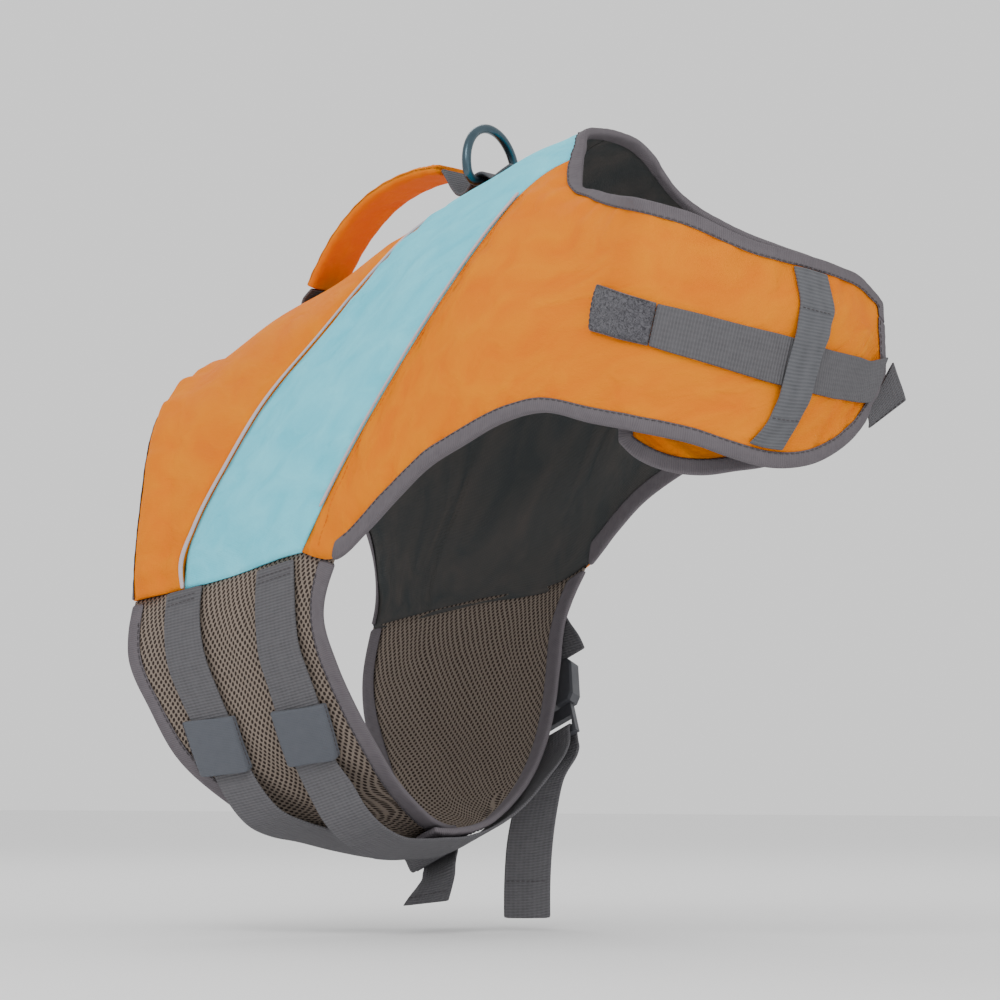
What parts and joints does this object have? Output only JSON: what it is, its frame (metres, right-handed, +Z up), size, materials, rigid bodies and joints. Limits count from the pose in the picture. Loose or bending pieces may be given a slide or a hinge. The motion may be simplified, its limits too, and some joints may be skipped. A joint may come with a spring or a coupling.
{
  "type": "dog life jacket",
  "caption": "Padded buoyant dog vest with a saddle back, contrasting side band, chest flaps, mesh belly panels, girth straps with side-release buckles, grab handle and leash ring.",
  "frame": {"origin": "lining's inner face on the wearer's spine, 140 mm forward of the hem, where the wearer's back carries the jacket", "axes": "+X level towards the head end, +Y towards the wearer's left, +Z up; the spine rises towards the head by 25 degrees"},
  "size_m": [0.4068, 0.2376, 0.4276],
  "materials": {
    "orange_polyester": "woven polyester, matt",
    "blue_polyester": "woven polyester, matt",
    "binding_tape": "ribbed binding tape",
    "webbing": "ribbed nylon webbing",
    "keeper_cloth": "smooth woven tape",
    "hook_tape": "napped hook and loop tape",
    "lining_cloth": "dark woven lining",
    "air_mesh": "knitted air mesh",
    "reflective_piping": "retroreflective piping",
    "ring_steel": "dark plated steel",
    "buckle_plastic": "moulded acetal"
  },
  "bodies": {
    "root": {"saddle": "orange_polyester", "shoulder_left": "orange_polyester", "shoulder_right": "orange_polyester", "handle_sleeve": "orange_polyester", "band": "blue_polyester", "neck_binding": "binding_tape", "armhole_binding_left": "binding_tape", "armhole_binding_right": "binding_tape", "hem_binding": "binding_tape", "mesh_binding_left": "binding_tape", "mesh_binding_right": "binding_tape", "girth_strap_front": "webbing", "girth_strap_rear": "webbing", "anchor_strap_front": "webbing", "anchor_strap_rear": "webbing", "handle_webbing_front": "webbing", "handle_webbing_rear": "webbing", "neck_strap": "webbing", "neck_tail": "webbing", "keeper_front": "keeper_cloth", "keeper_rear": "keeper_cloth", "flap_keeper": "keeper_cloth", "hook_tab": "hook_tape", "lining_left": "lining_cloth", "lining_right": "lining_cloth", "mesh_left": "air_mesh", "mesh_right": "air_mesh", "piping_front_left": "reflective_piping", "piping_front_right": "reflective_piping", "piping_rear": "reflective_piping", "d_ring": "ring_steel", "buckle_front_female": "buckle_plastic", "buckle_front_male": "buckle_plastic", "buckle_rear_female": "buckle_plastic", "buckle_rear_male": "buckle_plastic"}
  },
  "joints": []
}
